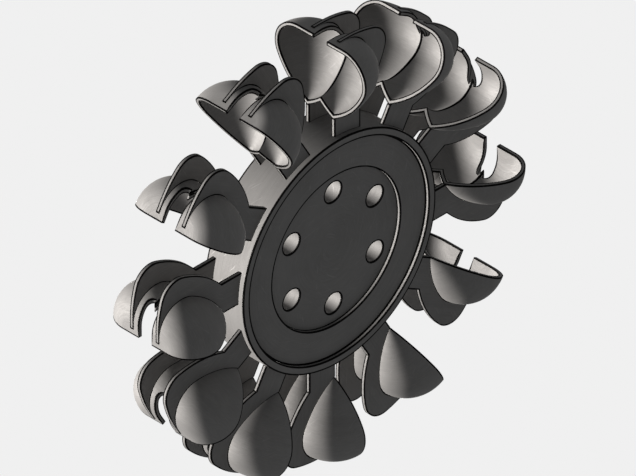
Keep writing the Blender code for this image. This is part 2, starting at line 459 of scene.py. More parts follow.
class Shader:
    """Node tree of one material."""

    def __init__(self, name: str) -> None:
        """Start a material with a Principled shader.

        Args:
            name: The material's name.
        """
        self.material = bpy.data.materials.new(name)
        self.material.use_nodes = True
        self.tree = self.material.node_tree
        self.surface = self.tree.nodes["Principled BSDF"]

    def node(
        self,
        kind: str,
        settings: Mapping[str, Any],
        inputs: Mapping[str | int, Any],
        output: str | int = 0,
    ) -> Value:
        """Add any node.

        Args:
            kind: The node's type.
            settings: Its settings, set first. The key stops holds a ramp's stops, as pairs
                of place and grey value.
            inputs: Values or links of its sockets, by name or number.
            output: The output wanted, by name or number.

        Returns:
            That output.
        """
        node = self.tree.nodes.new(kind)
        for key, value in settings.items():
            if key == "stops":
                ramp = node.color_ramp.elements
                while len(ramp) < len(value):
                    ramp.new(1.0)
                for stop, (place, grey) in zip(ramp, value):
                    stop.position = place
                    stop.color = (grey, grey, grey, 1.0)
            else:
                setattr(node, key, value)
        for key, value in inputs.items():
            self.feed(node.inputs[key], value)
        return Value(self.tree, node.outputs[output])

    def feed(self, place: bpy.types.NodeSocket, value: Any) -> None:
        """Link a value into a socket, or set the socket to a plain number or colour.

        Args:
            place: The socket.
            value: The value, number or colour.
        """
        if isinstance(value, Value):
            self.tree.links.new(value.socket, place)
        else:
            place.default_value = value

    def mixed(self, factor: Value, low: Any, high: Any) -> Value:
        """Colour between two others.

        Args:
            factor: 0 for the first, 1 for the second.
            low: The first colour or value.
            high: The second colour or value.

        Returns:
            The mixed colour. The node's sockets 6 and 7 and its output 2 are its colours.
        """
        settings = {"data_type": "RGBA", "blend_type": "MIX"}
        return self.node("ShaderNodeMix", settings, {0: factor, 6: low, 7: high}, 2)

    def scaled(self, place: Value, scale: tuple[float, float, float]) -> Value:
        """Coordinates times a scale for each axis."""
        return self.node("ShaderNodeVectorMath", {"operation": "MULTIPLY"}, {0: place, 1: scale})

    def noise(self, place: Value, pattern: Pattern, scale: float = 1.0) -> Value:
        """Soft random pattern from 0 to 1.

        Args:
            place: Coordinates that it is read at.
            pattern: Its finer layers.
            scale: Number of its waves in one unit of the coordinates.

        Returns:
            The pattern.
        """
        inputs = {
            "Vector": place,
            "Scale": scale,
            "Detail": pattern.detail,
            "Roughness": pattern.fineness,
        }
        return self.node("ShaderNodeTexNoise", {"noise_dimensions": "3D"}, inputs)

    def ramp(self, value: Value, span: tuple[float, float]) -> Value:
        """Grey that rises from 0 at the start of a span of values to 1 at its end."""
        stops = tuple(zip(span, (0.0, 1.0)))
        return self.node("ShaderNodeValToRGB", {"stops": stops}, {0: value})

    def finished(self, inputs: Mapping[str, Value]) -> bpy.types.Material:
        """Link the values that vary over the surface into the Principled shader.

        Args:
            inputs: The values by the names of its sockets.

        Returns:
            The material.
        """
        for name, value in inputs.items():
            self.feed(self.surface.inputs[name], value)
        return self.material


@dataclass(frozen=True)
class Pattern:
    """A random pattern in the metal, and how strongly it tells in each property.

    Attributes:
        detail: Number of its finer layers.
        fineness: Strength of the finer layers.
        stain: Its share in the duller colour.
        gloss: How far it changes the roughness.
        height: Its height, or the depth of scratches, over that of the finest tool marks.
        wear: How unevenly it wears the dark line of an edge.
    """

    detail: float
    fineness: float
    stain: float = 0.0
    gloss: float = 0.0
    height: float = 0.0
    wear: float = 0.0


MARKS = Pattern(detail=2.0, fineness=0.6, stain=0.15, gloss=0.16)
BANDS = Pattern(detail=3.0, fineness=0.65, stain=0.35, height=0.8)
CLOUDS = Pattern(detail=5.0, fineness=0.6, stain=0.50, gloss=0.10, wear=0.20)
GRAIN = Pattern(detail=2.0, fineness=0.5, gloss=0.08, height=0.4, wear=0.10)
SCRATCHES = Pattern(detail=1.0, fineness=0.5, height=0.9)

# Waves of the tool marks from one surface's number to the next.
PATCH_WAVES = 7.0


class Lay(Enum):
    """How tool marks run: the distance from one to the next, and their length over width."""

    TURNED = (0.0007, 60.0)
    GROUND = (0.0009, 14.0)
    ROLLED = (0.0012, 30.0)

    def scale(self, coarser: float = 1.0) -> tuple[float, float, float]:
        """Waves in a metre across and along the marks, and from one surface to the next.

        Args:
            coarser: How many times wider than the finest marks they are.

        Returns:
            The three scales.
        """
        pitch, stretch = self.value
        across = 1.0 / (pitch * coarser)
        return across, across / stretch, PATCH_WAVES


@dataclass(frozen=True)
class SteelFinish:
    """A dark steel with its stains, grain, tool marks, scratches and blackened edges.

    Attributes:
        name: The material's name.
        slot: The record's material slot; not used.
        lay: How its tool marks run.
        bare: Colour of the clean metal.
        stained: Colour of its duller clouds.
        roughness: Middle roughness.
        depth: Depth of the finest marks.
        coarser: How many times wider than those the second set of marks is.
        scratched: How much smoother a scratch is than the metal round it.
        metallic: Metal share of the finish.
        edge_colour: Colour of the line along a sharp edge.
        cloud_scale: Clouds in a metre.
        grain_scale: Grains in a metre.
        slant: Turn of the scratches from the tool marks, as three angles.
        scratch_scale: Waves in a metre across and along the scratches, and from one surface
            to the next.
        scratch_span: Values of the scratches' pattern from sound metal to a whole scratch.
        stain_span: Values of the duller patterns from bare metal to stained metal.
        line_span: Edge values from bare metal to the whole dark line.
    """

    name: str
    slot: str
    lay: Lay
    bare: tuple[float, float, float, float]
    stained: tuple[float, float, float, float]
    roughness: float
    depth: float = 0.00001
    coarser: float = 5.5
    scratched: float = 0.16
    metallic: float = 0.80
    edge_colour: tuple[float, float, float, float] = (0.0015, 0.0015, 0.0015, 1.0)
    cloud_scale: float = 16.0
    grain_scale: float = 900.0
    slant: tuple[float, float, float] = (0.0, 0.0, 0.6)
    scratch_scale: tuple[float, float, float] = (620.0, 34.0, 5.0)
    scratch_span: tuple[float, float] = (0.66, 0.74)
    stain_span: tuple[float, float] = (0.36, 0.66)
    line_span: tuple[float, float] = (0.08, 0.20)

    def material(self) -> bpy.types.Material:
        """Build the finish.

        Clouds of dull oxide and two sets of tool marks darken the metal, fine scratches and
        grain vary its roughness and height, and a dark line, worn unevenly, follows each
        sharp edge.

        Returns:
            The material.
        """
        shader = Shader(self.name)
        place = shader.node("ShaderNodeTexCoord", {}, {}, "Object")
        lay = shader.node("ShaderNodeAttribute", {"attribute_name": LAY_VALUE}, {}, "Vector")
        edge = shader.node("ShaderNodeAttribute", {"attribute_name": EDGE_VALUE}, {}, "Fac")
        slanted = shader.node("ShaderNodeMapping", {}, {"Vector": lay, "Rotation": self.slant})

        marks = shader.noise(shader.scaled(lay, self.lay.scale()), MARKS)
        bands = shader.noise(shader.scaled(lay, self.lay.scale(self.coarser)), BANDS)
        clouds = shader.noise(place, CLOUDS, self.cloud_scale)
        grain = shader.noise(place, GRAIN, self.grain_scale)
        thin = shader.noise(shader.scaled(slanted, self.scratch_scale), SCRATCHES)
        scratches = shader.ramp(thin, self.scratch_span)

        dull = clouds * CLOUDS.stain + bands * BANDS.stain + marks * MARKS.stain
        steel = shader.mixed(shader.ramp(dull, self.stain_span), self.bare, self.stained)
        worn = edge + grain.swing(GRAIN.wear) + clouds.swing(CLOUDS.wear)
        line = shader.ramp(worn, self.line_span)
        roughness = (
            self.roughness
            + marks.swing(MARKS.gloss)
            + clouds.swing(CLOUDS.gloss)
            + grain.swing(GRAIN.gloss)
            - scratches * self.scratched
        )
        relief = marks + bands * BANDS.height + grain * GRAIN.height
        height = (relief - scratches * SCRATCHES.height) * self.depth
        bump = {"Height": height, "Distance": 1.0, "Strength": 1.0}
        return shader.finished(
            {
                "Base Color": shader.mixed(line, steel, self.edge_colour),
                "Roughness": roughness,
                "Metallic": self.metallic + (1.0 - self.metallic) * line,
                "Normal": shader.node("ShaderNodeBump", {}, bump),
            }
        )


TURNED_STEEL = SteelFinish(
    name="turned_steel",
    slot="hub_steel",
    lay=Lay.TURNED,
    bare=(0.179, 0.178, 0.177, 1.0),
    stained=(0.153, 0.152, 0.151, 1.0),
    roughness=0.82,
)
GROUND_STEEL = SteelFinish(
    name="ground_steel",
    slot="cup_steel",
    lay=Lay.GROUND,
    bare=(0.183, 0.182, 0.181, 1.0),
    stained=(0.157, 0.156, 0.155, 1.0),
    roughness=0.80,
    scratched=0.08,
)
ROLLED_STEEL = SteelFinish(
    name="rolled_steel",
    slot="plate_steel",
    lay=Lay.ROLLED,
    bare=(0.179, 0.178, 0.177, 1.0),
    stained=(0.151, 0.150, 0.149, 1.0),
    roughness=0.82,
)


# The wheel


@dataclass(frozen=True)
class LobeSection:
    """Half section of one lobe of a cup: a long flank arc, a corner arc and a flat end.

    Attributes:
        apex: Distance of the lobe's pointed end from the wheel's axis.
        end: Distance of its flat end.
        radius: Its greatest radius about its spoke.
        flank: Radius of the flank arc.
        corner: Radius of the corner arc.
        half_spacing: Distance of its spoke from the wheel's mid-plane.
        notch_half: Half the width of the jet notch.
        notch_depth: Depth of the notch from the flat end.
        nose: How far the splitter's nose stands into the notch.
        nose_half: Half the nose's width at its root.
        wall: Thickness of the wall.
        cleft_steps: Steps from the apex to where the lobe reaches the mid-plane.
        flank_steps: Steps from there to the corner arc.
        shoulder_steps: Steps on the corner arc before the notch.
        nose_steps: Steps beside the root of the splitter's nose.
        notch_steps: Steps round the closed end of the notch.
        corner_steps: Steps from there to the end of the corner arc.
        end_steps: Steps on the flat end, down to one line's width from the rim plane.
        disc_steps: Even steps on the disc round the flat end's middle.
    """

    apex: float = 0.173
    end: float = 0.272
    radius: float = 0.0505
    flank: float = 0.108
    corner: float = 0.035
    half_spacing: float = 0.020
    notch_half: float = 0.01025
    notch_depth: float = 0.0215
    nose: float = 0.0058
    nose_half: float = 0.003
    wall: float = 0.005
    cleft_steps: int = 8
    flank_steps: int = 26
    shoulder_steps: int = 8
    nose_steps: int = 6
    notch_steps: int = 10
    corner_steps: int = 9
    end_steps: int = 4
    disc_steps: int = 2

    @property
    def corner_centre(self) -> np.ndarray:
        """Centre of the corner arc."""
        return np.array((self.end - self.corner, self.radius - self.corner))

    @property
    def flank_centre(self) -> np.ndarray:
        """Centre of the flank arc."""
        start = np.array((self.apex, 0.0))
        return enclosing_centre(start, self.flank, self.corner_centre, self.corner)

    @property
    def notch_rows(self) -> slice:
        """Rows of the grid that end on the wall of the notch.

        Returns:
            One row for each step, one where the closed end reaches the notch's full width,
            and one in the rim plane.
        """
        first = self.cleft_steps + self.flank_steps + self.shoulder_steps
        count = self.nose_steps + self.notch_steps + self.corner_steps + self.end_steps
        return slice(first, first + count + 2)

    def flank_angle(self, offset: float, depth: float) -> float:
        """Angle on the flank arc, moved out by offset, where the lobe has a given radius."""
        rise = (depth - self.flank_centre[1]) / (self.flank + offset)
        return math.pi - math.asin(rise)

    def notch_end(self) -> tuple[np.ndarray, np.ndarray]:
        """Rows round the closed end of the notch, and those before it at the nose's root.

        The closed end is a half circle: its half width is the notch's own times the sine of
        the turn, from where the nose is as wide. Before it, evenly set rows open from the
        mid-plane by a sine, up to the nose's own half width.

        Returns:
            The rows' distances from the axis, and the half width that each leaves out.
        """
        closed = self.end - self.notch_depth + self.notch_half
        root = math.asin(self.nose_half / self.notch_half)
        turn = np.linspace(root, math.pi / 2.0, self.notch_steps + 1)
        round_end = closed - self.notch_half * np.cos(turn)
        nose = np.linspace(0.0, 1.0, self.nose_steps + 1)[:-1]
        before = round_end[0] - self.nose_half * (1.0 - nose)
        opening = self.nose_half * np.sin(nose * math.pi / 2.0)
        return np.append(before, round_end), np.append(opening, self.notch_half * np.sin(turn))

    def flat_radii(self) -> np.ndarray:
        """Radii of the rows on the flat end.

        The first rows end on the notch's wall, where the squared radius is the wall's
        squared distance from the spoke plus the squared depth below the rim plane.

        Returns:
            The radii, from the end's border to its middle.
        """
        reach = self.half_spacing - self.notch_half
        deepest = math.sqrt(self.corner_centre[1] ** 2 - reach**2)
        depth = np.append(np.linspace(deepest, LINE_WIDTH, self.end_steps + 1)[1:], 0.0)
        disc = np.linspace(reach - LINE_WIDTH, LINE_WIDTH, self.disc_steps + 1)
        return np.concatenate((np.sqrt(reach**2 + depth**2), disc, (0.0,)))

    def rows(self, offset: float) -> tuple[np.ndarray, np.ndarray]:
        """Rows of a lobe's grid, from the apex to the middle of the flat end.

        Rows stand where the lobe first reaches the mid-plane and all round the closed end
        of the notch, so that the inner and the outer lobe have matching borders. Past the
        first of these, where a row's length shrinks with the root of the distance, the
        steps grow evenly from a very small one. The rows next to both poles are one line's
        width round them. Before the closed end a few rows open like the splitter's nose,
        which fills what they leave out.

        Args:
            offset: Distance that the section is moved out, negative for the hollow.

        Returns:
            The points as (distance from the axis, radius), and the half width of the notch
            at each.
        """
        centre = self.corner_centre
        meeting = direction(self.flank_centre, centre)
        cleft = self.flank_angle(offset, self.half_spacing)
        distance, opening = self.notch_end()
        notch = np.arccos((distance - centre[0]) / (self.corner + offset))
        steps = np.linspace(0.0, 1.0, self.flank_steps + 1)[1:]
        flank = np.concatenate(
            (
                (self.flank_angle(offset, 0.0),),
                np.linspace(self.flank_angle(offset, LINE_WIDTH), cleft, self.cleft_steps),
                cleft + (meeting - cleft) * steps**2,
            )
        )
        corner = np.concatenate(
            (
                np.linspace(meeting, notch[0], self.shoulder_steps + 1)[1:],
                notch[1:],
                np.linspace(notch[-1], 0.0, self.corner_steps + 1)[1:],
            )
        )
        radii = self.flat_radii()
        points = np.concatenate(
            (
                arc(self.flank_centre, self.flank + offset, flank),
                arc(centre, self.corner + offset, corner),
                np.stack((np.full(len(radii), self.end + offset), radii), axis=-1),
            )
        )
        points[0, 1] = 0.0
        first = self.notch_rows.start
        half_width = np.full(len(points), self.notch_half)
        half_width[:first] = 0.0
        half_width[first : first + len(opening)] = opening
        return points, half_width


@dataclass(frozen=True)
class DoubleCup:
    """Two hollow half lobes, joined at the wheel's mid-plane, with a notch in their tip.

    Attributes:
        section: Half section of a lobe.
        columns: Even steps of a lobe's grid round its spoke.
        band_columns: Even steps across the wall, at the rim and in the notch.
        nose_columns: Steps along the splitter's nose.
    """

    section: LobeSection = field(default_factory=LobeSection)
    columns: int = 30
    band_columns: int = 3
    nose_columns: int = 4

    def lobe_grid(self, offset: float, patch: float) -> tuple[np.ndarray, np.ndarray]:
        """Front lobe as a grid: a half turn of its section about its spoke.

        A row lies on a circle about the spoke, from the rim on the far side to where it
        meets the rim again, the mid-plane or the notch, whichever comes first. Side is
        minus the spoke's distance less radius times cosine, height is minus radius times
        sine.

        Args:
            offset: Distance that the section is moved out, negative for the hollow.
            patch: Number that sets its tool marks apart.

        Returns:
            Positions by row and column, and tool mark coordinates.
        """
        points, half_width = self.section.rows(offset)
        radius = points[:, 1]
        reach = self.section.half_spacing - half_width
        share = np.clip(reach / np.maximum(radius, SAME_POINT), 0.0, 1.0)
        sweep = np.pi - np.arccos(share)
        around = bordered(radius * sweep, self.columns)
        angle = around / np.maximum(radius, SAME_POINT)[:, None]
        side = -self.section.half_spacing - radius[:, None] * np.cos(angle)
        height = -radius[:, None] * np.sin(angle)
        height[:, 0] = 0.0
        height[share >= 1.0, -1] = 0.0
        spoke = np.broadcast_to(points[:, :1], side.shape)
        length = run_length(points)[:, None] + np.zeros_like(around)
        lay = np.stack((length, around, np.full_like(around, patch)), axis=-1)
        return np.stack((spoke, side, height), axis=-1), lay

    def nose_grid(self, grid: np.ndarray, offset: float) -> np.ndarray:
        """Top or underside of the splitter's nose, which stands into the notch.

        Lines of equal side lead from the closed end of the notch to half an ellipse. The
        height is minus the root of the lobe's radius squared less the squared distance from
        its spoke.

        Args:
            grid: The lobe's grid that it grows from.
            offset: Distance that the section is moved out, negative for the hollow.

        Returns:
            Positions by row, from the mid-plane, and by column, towards the ellipse.
        """
        section = self.section
        first = section.notch_rows.start
        base = grid[first : first + section.nose_steps + 1, -1]
        turn = np.linspace(0.0, math.pi / 2.0, section.nose_steps + 1)
        tip = base[-1, 0] + section.nose * np.cos(turn)
        share = np.linspace(0.0, 1.0, self.nose_columns + 1)
        spoke = base[:, :1] + (tip - base[:, 0])[:, None] * share
        side = base[:, 1:2] + np.zeros_like(spoke)
        centre = section.corner_centre
        radius = centre[1] + np.sqrt((section.corner + offset) ** 2 - (spoke - centre[0]) ** 2)
        height = -np.sqrt(radius**2 - (section.half_spacing + side) ** 2)
        nose = np.stack((spoke, side, height), axis=-1)
        nose[:, 0], nose[-1] = base, base[-1]
        return nose

    def lobe_marks(self, grid: np.ndarray) -> np.ndarray:
        """Edge values of a lobe's grid: its borders, and what lies just below the rim plane.

        Where the splitter's nose goes on from the last column, only the crease in the
        mid-plane is an edge.

        Args:
            grid: The lobe's positions by row and column.

        Returns:
            The edge values by row and column.
        """
        below = np.clip(1.0 + grid[..., 2] / LINE_WIDTH, 0.0, 1.0)
        marks = np.maximum(border_marks(*grid.shape[:2]), below)
        first = self.section.notch_rows.start
        rows = slice(first, first + self.section.nose_steps)
        marks[rows, -1] = np.clip(1.0 + grid[rows, -1, 1] / LINE_WIDTH, 0.0, 1.0)
        return marks

    def nose_marks(self, nose: np.ndarray) -> np.ndarray:
        """Edge values of the splitter's nose: its crease and its border in the notch.

        Args:
            nose: The nose's positions by row and column.

        Returns:
            The edge values by row and column.
        """
        crease = 1.0 + nose[..., 1] / LINE_WIDTH
        border = 1.0 - (nose[:, -1:, 0] - nose[..., 0]) / LINE_WIDTH
        return np.clip(np.maximum(crease, border), 0.0, 1.0)

    def rim_curve(self, grid: np.ndarray) -> np.ndarray:
        """Border of a lobe's grid in the rim plane, from the root cleft to the notch.

        Args:
            grid: The lobe's positions by row and column.

        Returns:
            The border's points: back along the cleft to the apex, round the far side and on
            to the notch.
        """
        cleft = self.section.cleft_steps
        last = self.section.notch_rows.stop - 1
        return np.concatenate(
            (grid[cleft:0:-1, -1], grid[:, 0], grid[len(grid) - 2 : last - 1 : -1, -1])
        )

    def notch_curve(self, grid: np.ndarray, nose: np.ndarray) -> np.ndarray:
        """Border of the notch: round the splitter's nose, then along the lobe's grid."""
        notch = self.section.notch_rows
        return np.concatenate((nose[:, -1], grid[notch.start + len(nose) : notch.stop, -1]))

    def surface(self) -> Surface:
        """The whole cup: a front half and its mirror image.

        A half has an outer and an inner lobe, each with its side of the splitter's nose,
        and two strips across the wall, one along the rim and one along the notch. The
        nose's tool marks are read from its own places.

        Returns:
            The closed cup.
        """
        parts, rims, walls = [], [], []
        for offset, patch, flip in (
            (0.0, Patch.LOBE_BACK, True),
            (-self.section.wall, Patch.LOBE_HOLLOW, False),
        ):
            grid, lay = self.lobe_grid(offset, patch)
            nose = self.nose_grid(grid, offset)
            parts.append(Surface.from_grid(grid, self.lobe_marks(grid), lay, flip))
            parts.append(Surface.from_grid(nose, self.nose_marks(nose), nose, flip))
            rims.append(self.rim_curve(grid))
            walls.append(self.notch_curve(grid, nose))
        parts.append(strip(*rims, self.band_columns, (-1,), Patch.RIM_BAND))
        parts.append(strip(*walls, self.band_columns, (-1,), Patch.NOTCH_WALL, flip=True))
        half = Surface.joined(parts)
        return Surface.joined((half, half.mirrored()))


@dataclass(frozen=True)
class ArmPlate:
    """Flat plate that carries a lobe: an arm from the hub, and a rib over the lobe's back.

    Attributes:
        section: The lobe that it is fitted to.
        hub_radius: Radius of the hub that it stands on.
        thickness: Its thickness.
        arm_depth: Depth of the arm below the rim plane.
        kink: Distance from the axis where the arm runs into the rib.
        flank: Radius of the rib's flank arc.
        crest: Radius of the rib's crest arc.
        crest_depth: Greatest depth of the rib below the rim plane.
        end_radius: Radius of the arc at the rib's end.
        end_straight: Depth where that arc starts.
        stand_out: How far the rib stands beyond the lobe's flat end.
        toe: Depth of the rib's foot on the flat end.
        arm_rows: Even rows of the arm.
        arm_border: Share of the arm that the narrow row at each of its ends takes.
        rib_rows: Even rows of the rib.
        rib_border: Share of the rib that its first, narrow row takes.
        toe_rows: Rows of the foot.
        columns: Even steps from the bed to the back edge.
        edge_columns: Even steps across the plate's thickness.
        arc_points: Points that stand for each arc before the rows are set.
    """

    section: LobeSection = field(default_factory=LobeSection)
    hub_radius: float = 0.150
    thickness: float = 0.005
    arm_depth: float = 0.040
    kink: float = 0.176
    flank: float = 0.125
    crest: float = 0.026
    crest_depth: float = 0.080
    end_radius: float = 0.135
    end_straight: float = 0.022
    stand_out: float = 0.001
    toe: float = 0.008
    arm_rows: int = 8
    arm_border: float = 0.03
    rib_rows: int = 64
    rib_border: float = 0.006
    toe_rows: int = 4
    columns: int = 8
    edge_columns: int = 2
    arc_points: int = 120

    @property
    def root(self) -> float:
        """Radius where the plate ends inside the hub's rim."""
        return self.hub_radius - WELD_BITE

    def back_curves(self) -> tuple[np.ndarray, np.ndarray, np.ndarray]:
        """Outer edge of the plate as (distance from the axis, depth), in three stretches.

        The arm's straight edge runs from the hub to the kink. The rib's edge follows the
        flank, crest and end arcs. A short straight leads to the toe.

        Returns:
            The three stretches, each from the hub outwards.
        """
        start = np.array((math.sqrt(self.root**2 - self.arm_depth**2), self.arm_depth))
        kink = np.array((self.kink, self.arm_depth))
        tip = self.section.end + self.stand_out
        end_centre = np.array((tip - self.end_radius, self.end_straight))
        rise = self.crest_depth - self.crest - self.end_straight
        run = math.sqrt((self.end_radius - self.crest) ** 2 - rise**2)
        crest_centre = end_centre + np.array((run, rise))
        flank_centre = enclosing_centre(kink, self.flank, crest_centre, self.crest)
        begin = direction(flank_centre, kink)
        leave = direction(flank_centre, crest_centre)
        meet = direction(end_centre, crest_centre)
        count = self.arc_points
        rib = np.concatenate(
            (
                arc(flank_centre, self.flank, np.linspace(begin, leave, count)),
                arc(crest_centre, self.crest, np.linspace(leave, meet, count))[1:],
                arc(end_centre, self.end_radius, np.linspace(meet, 0.0, count))[1:],
            )
        )
        foot = np.array(((tip, self.end_straight), (tip, self.toe)))
        return np.stack((start, kink)), rib, foot

    def bed_curves(self) -> tuple[np.ndarray, np.ndarray, np.ndarray]:
        """Inner edge of the plate: the arm's top, the bed round the lobe, and the flat end.

        Returns:
            The three stretches, each from the hub outwards, matched to the back edge's.
        """
        section = self.section
        centre = section.corner_centre
        meeting = direction(section.flank_centre, centre)
        flank = np.linspace(section.flank_angle(-WELD_BITE, 0.0), meeting, self.arc_points)
        corner = np.linspace(meeting, 0.0, self.arc_points)
        bed = np.concatenate(
            (
                arc(section.flank_centre, section.flank - WELD_BITE, flank),
                arc(centre, section.corner - WELD_BITE, corner)[1:],
            )
        )
        top = np.array(((self.root, 0.0), bed[0]))
        foot = np.stack((bed[-1], np.array((section.end - WELD_BITE, self.toe))))
        return top, bed, foot

    def shares(self) -> tuple[np.ndarray, np.ndarray, np.ndarray]:
        """Rows of the plate, with narrow steps at its corners.

        Returns:
            For each of the three stretches, shares of its length from 0 to 1.
        """
        arm = np.linspace(self.arm_border, 1.0 - self.arm_border, self.arm_rows)
        arm = np.concatenate(((0.0,), arm, (1.0,)))
        rib = np.linspace(self.rib_border, 1.0, self.rib_rows)
        last = 1.0 - LINE_WIDTH / (self.end_straight - self.toe)
        toe = np.append(np.linspace(0.0, last, self.toe_rows)[1:], 1.0)
        return arm, rib, toe

    def surface(self) -> Surface:
        """The plate in the wheel's mid-plane.

        Its faces are ruled between the bed and the back edge. Near the hub the rulings bend
        into the hub's circle, by the share of the arm that is still to go.

        Returns:
            The closed plate.
        """
        shares = self.shares()
        bed = np.concatenate([spaced(c, s) for c, s in zip(self.bed_curves(), shares)])
        back = np.concatenate([spaced(c, s) for c, s in zip(self.back_curves(), shares)])
        width = np.linalg.norm(back - bed, axis=1)
        across = bordered(width, self.columns)
        part = across / width[:, None]
        flat = bed[:, None] + (back - bed)[:, None] * part[..., None]
        bulge = np.sqrt(self.root**2 - flat[0, :, 1] ** 2) - flat[0, :, 0]
        fade = np.zeros(len(flat))
        fade[: len(shares[0])] = 1.0 - shares[0]
        flat[..., 0] += fade[:, None] * bulge[None, :]
        edge = border_marks(*part.shape)
        edge[0], edge[-1] = 1.0, 1.0
        lay = np.stack((flat[..., 1], flat[..., 0], np.zeros_like(part)), axis=-1)
        half = np.full_like(part, self.thickness / 2.0)
        front = np.stack((flat[..., 0], -half, -flat[..., 1]), axis=-1)
        rear = np.stack((flat[..., 0], half, -flat[..., 1]), axis=-1)
        corners = (0, len(shares[0]) - 1, -1)
        count = self.edge_columns
        return Surface.joined(
            (
                Surface.from_grid(front, edge, lay, flip=True).marked(Patch.PLATE_FRONT),
                Surface.from_grid(rear, edge, lay).marked(Patch.PLATE_REAR),
                strip(front[:, 0], rear[:, 0], count, corners, Patch.PLATE_BED),
                strip(front[:, -1], rear[:, -1], count, corners, Patch.PLATE_BACK, flip=True),
                strip(front[0], rear[0], count, (0, -1), Patch.PLATE_ROOT, flip=True),
                strip(front[-1], rear[-1], count, range(part.shape[1]), Patch.PLATE_TOE),
            )
        )


